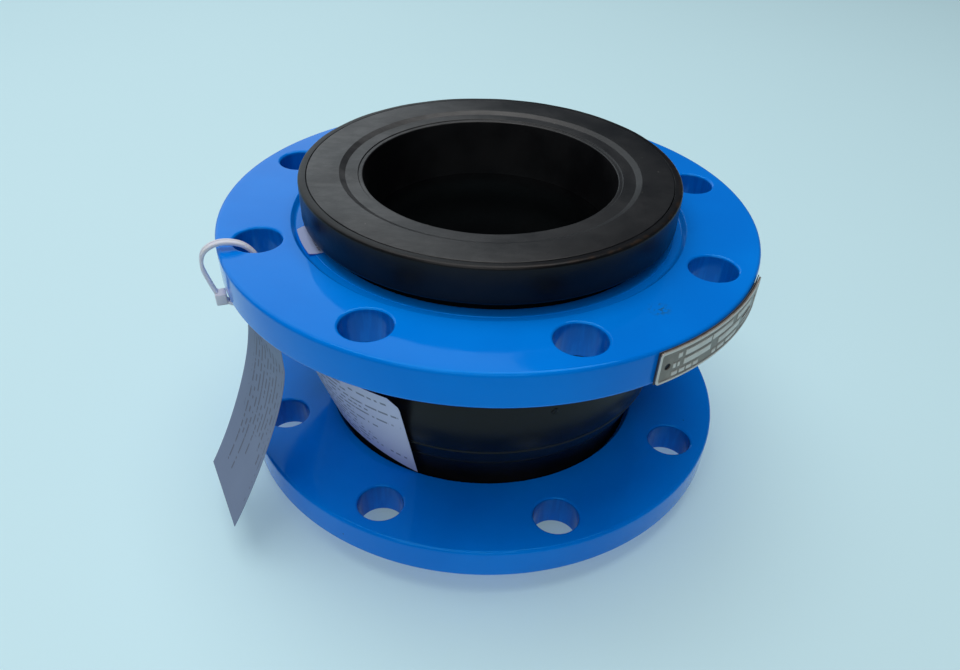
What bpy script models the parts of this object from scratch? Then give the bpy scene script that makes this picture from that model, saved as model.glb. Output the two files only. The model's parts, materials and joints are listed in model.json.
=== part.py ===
"""Rubber expansion joint with two loose steel flanges, a nameplate and a hang-tag loop.

Metres, +Z up. The pipe axis is Z, the lower sealing face is Z = 0, and -Y is the front.
"""

import math

import bmesh
import bpy
from mathutils import Vector

MM = 0.001

# Rubber body.
LENGTH = 126 * MM  # sealing face to sealing face
BORE_R = 48.5 * MM
COLLAR_R = 72.5 * MM
COLLAR_BACK = 14.5 * MM  # face to the back of the collar
NECK_R = 66.2 * MM
NECK_TOP = 24.2 * MM  # where the moulded end stops and the arch starts
FACE_R = 69.3 * MM  # outer edge of the sealing layer
FACE_T = 4.0 * MM
TUBE_WALL = 4.0 * MM
PLY_R = 60.0 * MM  # outside of the cord plies in the neck
SLOPE_R = (55.0 * MM, 57.2 * MM)  # the sealing face slopes down here to a sunk ring round the bore
SLOPE_DEPTH = 1.0 * MM
WRAP_R = 70.4 * MM  # how far the plies turn out under the bead wire
WRAP_TOP = 5.3 * MM
WIRE_R = 67.5 * MM
WIRE_Z = 8.5 * MM
WIRE_THICK = 5.0 * MM
WIRE_POCKET_R = 2.9 * MM
FILLER_TOP = 15.0 * MM
GAP = 0.3 * MM

# Arch between the two ends.
ARCH_CREST_R = 76.0 * MM
ARCH_BORE_R = 64.0 * MM
ARCH_SWELL = 1.3  # above 1 the arch leaves the necks softly and keeps a full crest
LAYERS = (
    ("arch_inner_tube", 0.0, 0.235),
    ("arch_cord_ply_inner", 0.235, 0.45),
    ("arch_cord_ply_outer", 0.45, 0.66),
    ("arch_cover", 0.66, 1.0),
)
ARCH_STATIONS = 9

# Loose flanges.
FLANGE_R = 105 * MM
FLANGE_T = 14 * MM
FLANGE_BORE_R = 67 * MM
SEAT_R = 77 * MM
SEAT_WALL = 1.5 * MM  # how far the seat's wall slopes inwards
UPPER_SEAT_DEPTH = 1.8 * MM
LOWER_SEAT_DEPTH = 4 * MM
LEAD_IN_R = 69 * MM
LEAD_IN_H = 3 * MM
RIM_CHAMFER = 1 * MM
LOWER_FLANGE_Z = 10.8 * MM
UPPER_FLANGE_Z = 95 * MM
BOLT_CIRCLE_R = 90 * MM
BOLT_HOLE_R = 9 * MM
BOLT_HOLES = 8
HOLE_CHAMFER = 1 * MM
FIRST_HOLE = -160  # degrees, the hole that carries the tie

# Nameplate on the upper flange's rim.
PLATE_FROM = -58.5
PLATE_TO = -22.5
PLATE_LOW = 0.6 * MM  # above the flange's underside
PLATE_HIGH = 0.6 * MM  # below its top
PLATE_PAD = (105.3 * MM, 105.6 * MM)
PLATE_METAL = (105.9 * MM, 106.6 * MM)
PLATE_STEPS = 12
PLATE_HOLE_R = 1.25 * MM
PLATE_HOLE_INSET = 2.2  # degrees from each end

# Cable tie through the first hole, and the two leaflets.
TIE_WIDTH = 3.2 * MM
TIE_THICK = 1.3 * MM
TIE_STEPS = 40
TIE_ROUTE = (  # radius, degrees, height above the upper flange's underside
    (91.2, -157.2, 6),
    (91.9, -156.6, 11.2),
    (96.2, -157.2, 15.5),
    (103.2, -157.9, 16.7),
    (109.0, -158.0, 14.4),
    (111.0, -157.8, 9.6),
    (110.0, -157.2, 4.0),
    (106.9, -156.2, -3.4),
    (100.5, -155.2, -6.4),
    (94.0, -155.7, -6.2),
    (90.8, -157.3, -0.7),
)
TIE_HEAD_POINT = 7  # the point of the route that the locking head sits on
TIE_HEAD = (5.0 * MM, 4.2 * MM, 4.6 * MM)
PAPER_T = 0.3 * MM
OUTER_LEAF_FACING = -153
OUTER_LEAF_TOP = (99.3 * MM, 85 * MM)
OUTER_LEAF_FOOT = (125 * MM, 17.7 * MM)
OUTER_LEAF_SIDES = (-1 * MM, 38.3 * MM)
OUTER_LEAF_CURL = 1.6
OUTER_LEAF_HINGE = (99 * MM, 88 * MM)
INNER_LEAF_FOOT = (69.2 * MM, 25.6 * MM)
INNER_LEAF_TOP = (85.5 * MM, 71.5 * MM)
INNER_LEAF_SPAN = (-167, -111)

RUBBER_SEGMENTS = 40
FLANGE_SEGMENTS = 72


def clear_scene():
    for obj in list(bpy.data.objects):
        bpy.data.objects.remove(obj)


def material(name, colour, roughness, metallic=0.0):
    made = bpy.data.materials.new(name)
    made.use_nodes = True
    shader = made.node_tree.nodes["Principled BSDF"]
    shader.inputs["Base Color"].default_value = (*colour, 1)
    shader.inputs["Roughness"].default_value = roughness
    shader.inputs["Metallic"].default_value = metallic
    return made


def add_object(name, mesh, finish, parent=None, smooth_angle=35):
    obj = bpy.data.objects.new(name, mesh)
    bpy.context.collection.objects.link(obj)
    mesh.materials.append(finish)
    mesh.shade_smooth()
    mesh.set_sharp_from_angle(angle=math.radians(smooth_angle))
    obj.parent = parent
    return obj


def add_empty(name, place, parent=None):
    """place is in the parent's space."""
    empty = bpy.data.objects.new(name, None)
    bpy.context.collection.objects.link(empty)
    empty.location = place
    empty.parent = parent
    return empty


def mesh_from(name, points, faces):
    shape = bmesh.new()
    corners = [shape.verts.new(point) for point in points]
    for face in faces:
        shape.faces.new([corners[index] for index in face])
    bmesh.ops.recalc_face_normals(shape, faces=shape.faces)
    mesh = bpy.data.meshes.new(name)
    shape.to_mesh(mesh)
    shape.free()
    return mesh


def polar(radius, degrees, height):
    angle = math.radians(degrees)
    return Vector((radius * math.cos(angle), radius * math.sin(angle), height))


def turned_ring(name, section, segments):
    """A closed section of (radius, height) points turned once round Z."""
    count = len(section)
    points = [
        polar(radius, 360 * step / segments, height)
        for step in range(segments)
        for radius, height in section
    ]
    faces = []
    for step in range(segments):
        here = step * count
        there = (step + 1) % segments * count
        for index in range(count):
            after = (index + 1) % count
            faces.append((here + index, here + after, there + after, there + index))
    return mesh_from(name, points, faces)


def arc(centre, radius, start, end, steps):
    """Points of a circular arc in a section, angles in degrees from the +radius direction."""
    points = []
    for step in range(steps + 1):
        angle = math.radians(start + (end - start) * step / steps)
        points.append((centre[0] + radius * math.cos(angle), centre[1] + radius * math.sin(angle)))
    return points


def end_section(section, upper):
    """A lower end's section, or its mirror image at the upper end."""
    if upper:
        return [(radius, LENGTH - height) for radius, height in section]
    return section


def sealing_tube_section():
    inner, outer = SLOPE_R
    edge = 0.5 * MM
    return [
        (BORE_R, SLOPE_DEPTH + edge),
        (BORE_R + edge, SLOPE_DEPTH),
        (inner, SLOPE_DEPTH),
        (outer, 0),
        (FACE_R, 0),
        (FACE_R, FACE_T),
        (BORE_R + TUBE_WALL + MM, FACE_T),
        (BORE_R + TUBE_WALL, FACE_T + MM),
        (BORE_R + TUBE_WALL, NECK_TOP),
        (BORE_R, NECK_TOP),
    ]


def cord_wrap_section():
    """The cord plies of the neck, turned out under the bead wire."""
    inside = BORE_R + TUBE_WALL + GAP
    return [
        (inside, FACE_T + MM + GAP),
        (inside + MM, FACE_T + GAP),
        (WRAP_R, FACE_T + GAP),
        (WRAP_R, WRAP_TOP),
        (PLY_R, WRAP_TOP),
        (PLY_R, NECK_TOP),
        (inside, NECK_TOP),
    ]


def bead_filler_section():
    """The wedge of hard rubber behind the wire."""
    pocket = arc((WIRE_R, WIRE_Z), WIRE_POCKET_R, 270, 90, 4)
    return [
        (PLY_R + GAP, WRAP_TOP + GAP),
        *pocket,
        (PLY_R + GAP, FILLER_TOP),
    ]


def collar_cover_section():
    inside = WIRE_R + GAP
    pocket = arc((inside, WIRE_Z), WIRE_POCKET_R, 90, -90, 4)
    return [
        (FACE_R + GAP, 0),
        (COLLAR_R - 0.5 * MM, 0),
        (COLLAR_R, 0.5 * MM),
        (COLLAR_R, COLLAR_BACK - 2.5 * MM),
        (COLLAR_R - 2.5 * MM, COLLAR_BACK),
        (NECK_R, COLLAR_BACK),
        (NECK_R, NECK_TOP),
        (PLY_R + GAP, NECK_TOP),
        (PLY_R + GAP, FILLER_TOP + GAP),
        (inside, WIRE_Z + WIRE_POCKET_R + GAP),
        *pocket,
        (WRAP_R + GAP, WRAP_TOP + GAP),
        (WRAP_R + GAP, FACE_T),
        (FACE_R + GAP, FACE_T),
    ]


def wire_section():
    return arc((WIRE_R + GAP / 2, WIRE_Z), WIRE_THICK / 2, 22.5, 337.5, 7)


def arch_share(height):
    """0 at the necks, 1 at the crest."""
    middle = LENGTH / 2
    away = abs(height - middle) / (middle - NECK_TOP - GAP)
    return (1 + math.cos(math.pi * min(away, 1) ** ARCH_SWELL)) / 2


def arch_layer_section(start, end):
    """One layer of the arch wall, from share start to share end of its thickness."""
    middle = LENGTH / 2
    reach = middle - NECK_TOP - GAP
    inside = []
    outside = []
    for step in range(ARCH_STATIONS):
        # Cosine spacing puts the stations close together near the necks.
        height = middle - reach * math.cos(math.pi * step / (ARCH_STATIONS - 1))
        share = arch_share(height)
        inner = BORE_R + (ARCH_BORE_R - BORE_R) * share
        outer = NECK_R + (ARCH_CREST_R - NECK_R) * share
        skin = GAP / 2
        inside.append((inner + (outer - inner) * start + (skin if start > 0 else 0), height))
        outside.append((inner + (outer - inner) * end - (skin if end < 1 else 0), height))
    return inside + outside[::-1]


def flange_section(seat_depth, seat_up):
    """A loose flange between height 0 and FLANGE_T, its collar seat on the top or the underside."""
    section = [
        (LEAD_IN_R, 0),
        (FLANGE_R - RIM_CHAMFER, 0),
        (FLANGE_R, RIM_CHAMFER),
        (FLANGE_R, FLANGE_T - RIM_CHAMFER),
        (FLANGE_R - RIM_CHAMFER, FLANGE_T),
        (SEAT_R, FLANGE_T),
        (SEAT_R - SEAT_WALL, FLANGE_T - seat_depth),
        (FLANGE_BORE_R, FLANGE_T - seat_depth),
        (FLANGE_BORE_R, LEAD_IN_H),
    ]
    if seat_up:
        return section
    return [(radius, FLANGE_T - height) for radius, height in section]


def bolt_hole_cutters(name, parent):
    """One mesh that holds all the bolt hole cutters, each flared for the hole's two chamfers."""
    over = 0.5 * MM
    wide = BOLT_HOLE_R + HOLE_CHAMFER + over
    outline = (
        (wide, -over),
        (BOLT_HOLE_R, HOLE_CHAMFER),
        (BOLT_HOLE_R, FLANGE_T - HOLE_CHAMFER),
        (wide, FLANGE_T + over),
    )
    sides = 20
    points = []
    faces = []
    for hole in range(BOLT_HOLES):
        centre = polar(BOLT_CIRCLE_R, FIRST_HOLE + 360 * hole / BOLT_HOLES, 0)
        first = len(points)
        for radius, height in outline:
            points += [centre + polar(radius, 360 * side / sides, height) for side in range(sides)]
        for level in range(len(outline) - 1):
            for side in range(sides):
                after = (side + 1) % sides
                low = first + level * sides
                high = low + sides
                faces.append((low + side, low + after, high + after, high + side))
        faces.append(tuple(first + side for side in range(sides)))
        top = first + (len(outline) - 1) * sides
        faces.append(tuple(top + side for side in range(sides)))
    return add_cutter(name, mesh_from(name, points, faces), parent)


def add_cutter(name, mesh, parent=None):
    cutter = bpy.data.objects.new(name, mesh)
    bpy.context.collection.objects.link(cutter)
    cutter.parent = parent
    cutter.hide_render = True
    cutter.display_type = "WIRE"
    return cutter


def cut(obj, cutter):
    change = obj.modifiers.new("cut " + cutter.name, "BOOLEAN")
    change.operation = "DIFFERENCE"
    change.solver = "EXACT"
    change.object = cutter


def make_flange(name, height, seat_depth, seat_up, finish):
    pivot = add_empty(name + "_axis", (0, 0, height))
    ring = turned_ring(name, flange_section(seat_depth, seat_up), FLANGE_SEGMENTS)
    flange = add_object(name, ring, finish, pivot)
    cut(flange, bolt_hole_cutters(name + "_bolt_holes", pivot))
    return pivot


def make_end(side, upper, rubber, cord, steel):
    """The moulded end of the rubber body, from the sealing tube out to the collar cover."""
    pieces = (
        ("_sealing_tube", sealing_tube_section(), rubber),
        ("_cord_wrap", cord_wrap_section(), cord),
        ("_bead_wire", wire_section(), steel),
        ("_bead_filler", bead_filler_section(), rubber),
        ("_collar_cover", collar_cover_section(), rubber),
    )
    for suffix, section, finish in pieces:
        ring = turned_ring(side + suffix, end_section(section, upper), RUBBER_SEGMENTS)
        add_object(side + suffix, ring, finish)


def make_arch(rubber, cord):
    for name, start, end in LAYERS:
        finish = cord if "cord" in name else rubber
        ring = turned_ring(name, arch_layer_section(start, end), RUBBER_SEGMENTS)
        add_object(name, ring, finish)


def rim_strip(name, radii, finish, parent):
    """A strip bent round the rim between the nameplate's two ends."""
    low = PLATE_LOW
    high = FLANGE_T - PLATE_HIGH
    points = []
    for step in range(PLATE_STEPS + 1):
        angle = PLATE_FROM + (PLATE_TO - PLATE_FROM) * step / PLATE_STEPS
        points += [
            polar(radii[0], angle, low),
            polar(radii[1], angle, low),
            polar(radii[1], angle, high),
            polar(radii[0], angle, high),
        ]
    faces = [(0, 1, 2, 3), tuple(len(points) - 4 + index for index in range(4))]
    for step in range(PLATE_STEPS):
        base = step * 4
        for index in range(4):
            after = (index + 1) % 4
            faces.append((base + index, base + after, base + 4 + after, base + 4 + index))
    return add_object(name, mesh_from(name, points, faces), finish, parent)


def make_nameplate(metal, adhesive, parent):
    rim_strip("nameplate_pad", PLATE_PAD, adhesive, parent)
    plate = rim_strip("nameplate", PLATE_METAL, metal, parent)
    for end, angle in (("near", PLATE_FROM + PLATE_HOLE_INSET), ("far", PLATE_TO - PLATE_HOLE_INSET)):
        outward = polar(1, angle, 0)
        upward = Vector((0, 0, 1))
        across = upward.cross(outward)
        centre = Vector((0, 0, FLANGE_T / 2))
        sides = 12
        over = 0.2 * MM
        points = []
        for reach in (PLATE_METAL[0] - over, PLATE_METAL[1] + over):
            for side in range(sides):
                turn = 2 * math.pi * side / sides
                offset = across * math.cos(turn) + upward * math.sin(turn)
                points.append(centre + outward * reach + offset * PLATE_HOLE_R)
        faces = [tuple(range(sides)), tuple(range(sides, 2 * sides))]
        for side in range(sides):
            after = (side + 1) % sides
            faces.append((side, after, sides + after, sides + side))
        name = "nameplate_hole_" + end
        cut(plate, add_cutter(name, mesh_from(name, points, faces), parent))


def loop_point(points, place):
    """A point of the smooth closed curve through points, place counted in points from the first."""
    count = len(points)
    index = int(place) % count
    share = place - int(place)
    before, start, end, after = (points[(index + step) % count] for step in (-1, 0, 1, 2))
    return 0.5 * (
        2 * start
        + (end - before) * share
        + (2 * before - 5 * start + 4 * end - after) * share**2
        + (3 * start - before - 3 * end + after) * share**3
    )


def make_cable_tie(plastic, hole_axis):
    """A closed flat strap through the hole and round the rim, with its locking head moulded on."""
    route = [polar(radius * MM, angle, UPPER_FLANGE_Z + height * MM) for radius, angle, height in TIE_ROUTE]
    origin = hole_axis.matrix_world.translation
    ahead = 0.05
    along_rim = polar(1, FIRST_HOLE + 90, 0)
    points = []
    for step in range(TIE_STEPS):
        place = len(route) * step / TIE_STEPS
        here = loop_point(route, place)
        forward = (loop_point(route, place + ahead) - here).normalized()
        side = (along_rim - forward * along_rim.dot(forward)).normalized()
        out = forward.cross(side)
        half_width = side * TIE_WIDTH / 2
        half_thick = out * TIE_THICK / 2
        for width_sign, thick_sign in ((1, 1), (-1, 1), (-1, -1), (1, -1)):
            points.append(here + half_width * width_sign + half_thick * thick_sign - origin)
    faces = []
    for step in range(TIE_STEPS):
        base = step * 4
        following = (step + 1) % TIE_STEPS * 4
        for index in range(4):
            after = (index + 1) % 4
            faces.append((base + index, base + after, following + after, following + index))
    strap = add_object("cable_tie", mesh_from("cable_tie", points, faces), plastic, hole_axis)
    head_at = route[TIE_HEAD_POINT] - origin
    head = box_cutter("cable_tie_head", head_at, along_rim, TIE_HEAD, hole_axis)
    join = strap.modifiers.new("head", "BOOLEAN")
    join.operation = "UNION"
    join.solver = "EXACT"
    join.object = head


def box_cutter(name, centre, along, size, parent):
    upward = Vector((0, 0, 1))
    across = upward.cross(along)
    points = []
    for sign_z in (-1, 1):
        for sign_a, sign_b in ((1, 1), (-1, 1), (-1, -1), (1, -1)):
            offset = along * size[0] * sign_a + across * size[1] * sign_b + upward * size[2] * sign_z
            points.append(centre + offset / 2)
    faces = [(0, 1, 2, 3), (4, 5, 6, 7)]
    faces += [(side, (side + 1) % 4, (side + 1) % 4 + 4, side + 4) for side in range(4)]
    return add_cutter(name, mesh_from(name, points, faces), parent)


def sheet_mesh(name, front, back):
    """A closed thin sheet from two grids of points, each a list of rows."""
    rows = len(front)
    columns = len(front[0])
    points = [point for grid in (front, back) for row in grid for point in row]
    half = rows * columns
    faces = []
    for row in range(rows - 1):
        for column in range(columns - 1):
            corner = row * columns + column
            quad = (corner, corner + 1, corner + columns + 1, corner + columns)
            faces.append(quad)
            faces.append(tuple(half + index for index in quad))
    border = [(0, column) for column in range(columns)]
    border += [(row, columns - 1) for row in range(1, rows)]
    border += [(rows - 1, column) for column in range(columns - 2, -1, -1)]
    border += [(row, 0) for row in range(rows - 2, 0, -1)]
    ring = [row * columns + column for row, column in border]
    for index, corner in enumerate(ring):
        after = ring[(index + 1) % len(ring)]
        faces.append((corner, after, half + after, half + corner))
    return mesh_from(name, points, faces)


def make_outer_leaflet(paper):
    """Hangs from the tie outside the lower flange and curls outwards at its foot."""
    hinge_reach, hinge_height = OUTER_LEAF_HINGE
    pivot = add_empty("leaflet_outer_hinge", polar(hinge_reach, OUTER_LEAF_FACING, hinge_height))
    outward = polar(1, OUTER_LEAF_FACING, 0)
    sideways = polar(1, OUTER_LEAF_FACING + 90, 0)
    top_reach, top_height = OUTER_LEAF_TOP
    foot_reach, foot_height = OUTER_LEAF_FOOT
    rows = 12
    grids = ([], [])
    for row in range(rows):
        share = row / (rows - 1)
        height = top_height + (foot_height - top_height) * share
        reach = top_reach + (foot_reach - top_reach) * share**OUTER_LEAF_CURL
        for grid, thick in zip(grids, (0, PAPER_T)):
            centre = outward * (reach + thick) + Vector((0, 0, height))
            grid.append([centre + sideways * side - pivot.location for side in OUTER_LEAF_SIDES])
    add_object("leaflet_outer", sheet_mesh("leaflet_outer", *grids), paper, pivot)


def make_inner_leaflet(paper):
    """Stands on the lower flange, wrapped part of the way round the arch."""
    columns = 12
    first, last = INNER_LEAF_SPAN
    grids = ([], [])
    for reach, height in (INNER_LEAF_FOOT, INNER_LEAF_TOP):
        for grid, thick in zip(grids, (0, PAPER_T)):
            row = []
            for column in range(columns):
                angle = first + (last - first) * column / (columns - 1)
                row.append(polar(reach + thick, angle, height))
            grid.append(row)
    add_object("leaflet_inner", sheet_mesh("leaflet_inner", *grids), paper)


def main():
    clear_scene()
    paint = material("blue_paint", (0.0, 0.17, 0.62), 0.25)
    rubber = material("black_rubber", (0.02, 0.021, 0.023), 0.6)
    cord = material("cord_ply", (0.25, 0.22, 0.17), 0.8)
    steel = material("bead_steel", (0.45, 0.45, 0.46), 0.35, 1.0)
    metal = material("plate_metal", (0.6, 0.58, 0.55), 0.35, 1.0)
    adhesive = material("pad_adhesive", (0.7, 0.7, 0.66), 0.7)
    plastic = material("tie_nylon", (0.78, 0.8, 0.86), 0.45)
    paper = material("leaflet_paper", (0.62, 0.64, 0.74), 0.8)

    make_end("lower", False, rubber, cord, steel)
    make_end("upper", True, rubber, cord, steel)
    make_arch(rubber, cord)
    make_flange("lower_flange", LOWER_FLANGE_Z, LOWER_SEAT_DEPTH, False, paint)
    upper = make_flange("upper_flange", UPPER_FLANGE_Z, UPPER_SEAT_DEPTH, True, paint)
    make_nameplate(metal, adhesive, upper)
    hole_axis = add_empty("tie_hole_axis", polar(BOLT_CIRCLE_R, FIRST_HOLE, UPPER_FLANGE_Z))
    bpy.context.view_layer.update()
    make_cable_tie(plastic, hole_axis)
    make_outer_leaflet(paper)
    make_inner_leaflet(paper)


main()
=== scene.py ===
"""The looks of a rubber expansion joint with two loose steel flanges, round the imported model.

Metres, +Z up. The pipe axis is Z, the lower sealing face is Z = 0, and -Y is the front.
"""

import json
import math

import bmesh
import bpy
from mathutils import Matrix, Vector, noise


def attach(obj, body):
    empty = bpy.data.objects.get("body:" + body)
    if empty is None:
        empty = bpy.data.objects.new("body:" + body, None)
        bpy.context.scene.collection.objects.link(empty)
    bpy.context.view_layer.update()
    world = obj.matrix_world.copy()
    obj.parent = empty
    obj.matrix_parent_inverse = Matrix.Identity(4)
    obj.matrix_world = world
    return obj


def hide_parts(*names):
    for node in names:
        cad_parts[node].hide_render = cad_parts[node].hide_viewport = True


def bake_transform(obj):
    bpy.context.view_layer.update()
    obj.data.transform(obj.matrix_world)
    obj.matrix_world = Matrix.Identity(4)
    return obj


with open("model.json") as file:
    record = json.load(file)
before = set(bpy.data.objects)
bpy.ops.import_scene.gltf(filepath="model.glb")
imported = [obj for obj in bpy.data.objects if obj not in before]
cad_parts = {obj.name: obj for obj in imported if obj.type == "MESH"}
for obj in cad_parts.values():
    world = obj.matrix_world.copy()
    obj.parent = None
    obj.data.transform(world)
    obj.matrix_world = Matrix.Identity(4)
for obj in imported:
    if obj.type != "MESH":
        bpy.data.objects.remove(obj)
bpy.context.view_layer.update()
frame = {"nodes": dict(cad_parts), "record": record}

MM = 0.001
PAINT = (0.0, 0.19, 0.76)


def span(node):
    """(smallest radius, largest radius, lowest height, highest height) of a node, round the pipe axis."""
    places = [vertex.co for vertex in frame["nodes"][node].data.vertices]
    radii = [math.hypot(place.x, place.y) for place in places]
    heights = [place.z for place in places]
    return min(radii), max(radii), min(heights), max(heights)


# Read from the frame.
FLANGE_BORE_R, FLANGE_R, UPPER_FLANGE_LOW, UPPER_FLANGE_TOP = span("upper_flange")
_, _, LOWER_FLANGE_LOW, LOWER_FLANGE_TOP = span("lower_flange")
FLANGE_T = UPPER_FLANGE_TOP - UPPER_FLANGE_LOW
BORE_R, FACE_R, _, LENGTH = span("upper_sealing_tube")
_, COLLAR_R, _, _ = span("upper_collar_cover")
NECK_TOP = span("lower_collar_cover")[3]
ARCH_BORE_R = max(math.hypot(v.co.x, v.co.y) for v in frame["nodes"]["arch_inner_tube"].data.vertices)
ARCH_CREST_R = span("arch_cover")[1]
PLATE_BACK_R, PLATE_FACE_R, PLATE_LOW, PLATE_TOP = span("nameplate")
PLATE_ANGLES = [math.degrees(math.atan2(v.co.y, v.co.x)) for v in frame["nodes"]["nameplate"].data.vertices]
PLATE_FROM, PLATE_TO = min(PLATE_ANGLES), max(PLATE_ANGLES)
BOLT_HOLES = [
    (Vector((*opening["box_m"][0][:2], 0)) + Vector((*opening["box_m"][1][:2], 0))) / 2
    for opening in frame["record"]["physics"]["openings"]
    if opening["name"].startswith("lower_bolt_hole")
]
BOLT_CIRCLE_R = BOLT_HOLES[0].length
FIRST_HOLE = math.degrees(math.atan2(BOLT_HOLES[0].y, BOLT_HOLES[0].x))
BOLT_HOLE_R = 9 * MM


def bore_heights(node):
    """Lowest and highest point of a flange's bore."""
    places = [vertex.co for vertex in frame["nodes"][node].data.vertices]
    heights = [place.z for place in places if math.hypot(place.x, place.y) < FLANGE_BORE_R + 0.1 * MM]
    return min(heights), max(heights)


UPPER_SEAT_DEPTH = UPPER_FLANGE_TOP - bore_heights("upper_flange")[1]
LOWER_SEAT_DEPTH = bore_heights("lower_flange")[0] - LOWER_FLANGE_LOW

# Loose flanges.
RIM_EDGE = 1.5 * MM  # rounding
HOLE_EDGE = 1.1 * MM
SEAT_R = 77 * MM
SEAT_WALL = 1.5 * MM
SEAT_LINE_R = 72.4 * MM  # a thin raised line in the seat
LEAD_IN_R = 69 * MM
LEAD_IN_H = 3 * MM

# Rubber body.
NECK_R = 66.2 * MM
COLLAR_BACK = 14.5 * MM
SEAL_T = 4 * MM
SLOPE_R = (55 * MM, 57.2 * MM)
SLOPE_DEPTH = 1 * MM
TUBE_R = 52.5 * MM
PLY_R = 60.3 * MM
ARCH_SWELL = 1.3
SMUDGE = (0.058, -0.066, 0.109)
ARCH_WALL = (
    ("arch_inner_tube", 0.0, 0.235),
    ("arch_cord_ply_inner", 0.235, 0.45),
    ("arch_cord_ply_outer", 0.45, 0.66),
    ("arch_cover", 0.66, 1.0),
)
ARCH_BANDS = (  # name, lower and upper height, the two bodies, heights between which it bends
    ("low", NECK_TOP, 37.6 * MM, "lower_end", "arch_inner", 26 * MM, 37.6 * MM),
    ("middle", 37.6 * MM, 69 * MM, "arch_inner", "arch_outer", 37.6 * MM, 69 * MM),
    ("high", 69 * MM, LENGTH - NECK_TOP, "arch_outer", "upper_end", 69 * MM, 94 * MM),
)
RING_LINES = (37.6 * MM, 46 * MM)  # raised mould lines, mirrored in the upper half
RING_LINE_H = 0.45 * MM
RING_LINE_W = 0.55 * MM

SCAR_ANGLE = -69  # rough spot left where the arch was vented in the mould
SCAR_HEIGHT = 66.3 * MM

# Nameplate: raised blank fields as (from, to) along it and (low, high) up it, in mm.
PLATE_BORDER = 0.9 * MM
PLATE_SUNK = 0.32 * MM
PLATE_CORNER = 1.6 * MM
PLATE_HOLE_R = 1.25 * MM
PLATE_HOLE_INSET = 2.2  # degrees from each end
PLATE_FIELDS = (
    (8.2, 9.8, 8.4, 10.4),
    (11.5, 24.5, 8.2, 10.6),
    (25.5, 38.0, 8.2, 10.6),
    (42.0, 54.0, 8.2, 10.6),
    (6.6, 7.6, 4.9, 6.9),
    (8.6, 9.4, 4.9, 6.9),
    (11.5, 25.0, 4.7, 7.1),
    (30.0, 45.0, 4.7, 7.1),
    *((6.6 + step, 9.0 + step, 1.9, 3.5) for step in (0, 3.4, 6.8, 10.2)),
    (27.0, 29.0, 1.9, 3.5),
    (30.5, 34.5, 1.9, 3.5),
    (36.0, 44.0, 1.9, 3.5),
    (48.5, 57.0, 4.9, 5.6),
    (48.5, 57.0, 2.4, 3.1),
)

# Cable tie: (radius, degrees, height above the flange's underside) of its closed route.
TIE_WIDTH = 3.2 * MM
TIE_THICK = 1.3 * MM
TIE_ROUTE = (
    (91.2, -157.2, 6),
    (91.9, -156.6, 11.2),
    (96.2, -157.2, 15.5),
    (103.2, -157.9, 16.7),
    (109.0, -158.0, 14.4),
    (111.0, -157.8, 9.6),
    (110.0, -157.2, 4.0),
    (106.9, -156.2, -3.4),
    (100.5, -155.2, -6.4),
    (94.0, -155.7, -6.2),
    (90.8, -157.3, -0.7),
)
TIE_HEAD_POINT = 7
TIE_HEAD = (5.0 * MM, 4.2 * MM, 4.6 * MM)
TIE_TEETH = 64

# Leaflets.
PAPER_T = 0.2 * MM
OUTER_LEAF_FACING = -153
OUTER_LEAF_TOP = (99.45 * MM, 85 * MM)
OUTER_LEAF_FOOT = (125.1 * MM, 17.8 * MM)
OUTER_LEAF_SIDES = (-1 * MM, 38.3 * MM)
OUTER_LEAF_CURL = 1.6
OUTER_LEAF_RISE = 9 * MM  # how far it goes on straight up, under the flange
OUTER_LEAF_HOLE = (-3 * MM, 88.2 * MM)  # punched for the tie
OUTER_LEAF_HOLE_R = 2.9 * MM
OUTER_LEAF_EAR = 6 * MM  # how far the punched corner sticks out sideways
OUTER_LEAF_UNDER = 3.5 * MM  # how far its other top corner leans in under the flange
INNER_LEAF_FOOT = (69.35 * MM, 25.6 * MM)
INNER_LEAF_TOP = (83.6 * MM, 74 * MM)
INNER_LEAF_SPAN = (-167, -111)
INNER_LEAF_LIFT = 4.5 * MM  # of its bottom edge between the corners
INNER_LEAF_LEAN = 1.1 * MM  # of its bottom edge towards the arch
INNER_LEAF_CORNER = (69.5 * MM, 2.8)  # its clipped corner: height where it starts, degrees at the top
SCRAP_SPAN = (-169, -149)
SCRAP_SLANT = 5.5  # degrees by which its outer edge is shorter

SKIN_SEGMENTS = 180
HIDDEN_SEGMENTS = 72


# ---- meshes


def polar(radius, degrees, height=0.0):
    angle = math.radians(degrees)
    return Vector((radius * math.cos(angle), radius * math.sin(angle), height))


def mesh_from(name, points, faces):
    shape = bmesh.new()
    corners = [shape.verts.new(point) for point in points]
    for face in faces:
        shape.faces.new([corners[index] for index in face])
    bmesh.ops.recalc_face_normals(shape, faces=shape.faces)
    mesh = bpy.data.meshes.new(name)
    shape.to_mesh(mesh)
    shape.free()
    return mesh


def mesh_of(name, shape):
    """Turns a bmesh into a mesh."""
    mesh = bpy.data.meshes.new(name)
    shape.to_mesh(mesh)
    shape.free()
    return mesh


def welded(name, points, faces, distance):
    """A mesh with its coinciding points joined and its faces turned outwards."""
    shape = bmesh.new()
    corners = [shape.verts.new(point) for point in points]
    for face in faces:
        shape.faces.new([corners[index] for index in face])
    bmesh.ops.remove_doubles(shape, verts=shape.verts, dist=distance)
    bmesh.ops.recalc_face_normals(shape, faces=shape.faces)
    return mesh_of(name, shape)


def add_piece(name, mesh, finish, sharp=40):
    piece = bpy.data.objects.new(name, mesh)
    bpy.context.scene.collection.objects.link(piece)
    mesh.materials.append(finish)
    mesh.shade_smooth()
    mesh.set_sharp_from_angle(angle=math.radians(sharp))
    return piece


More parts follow.
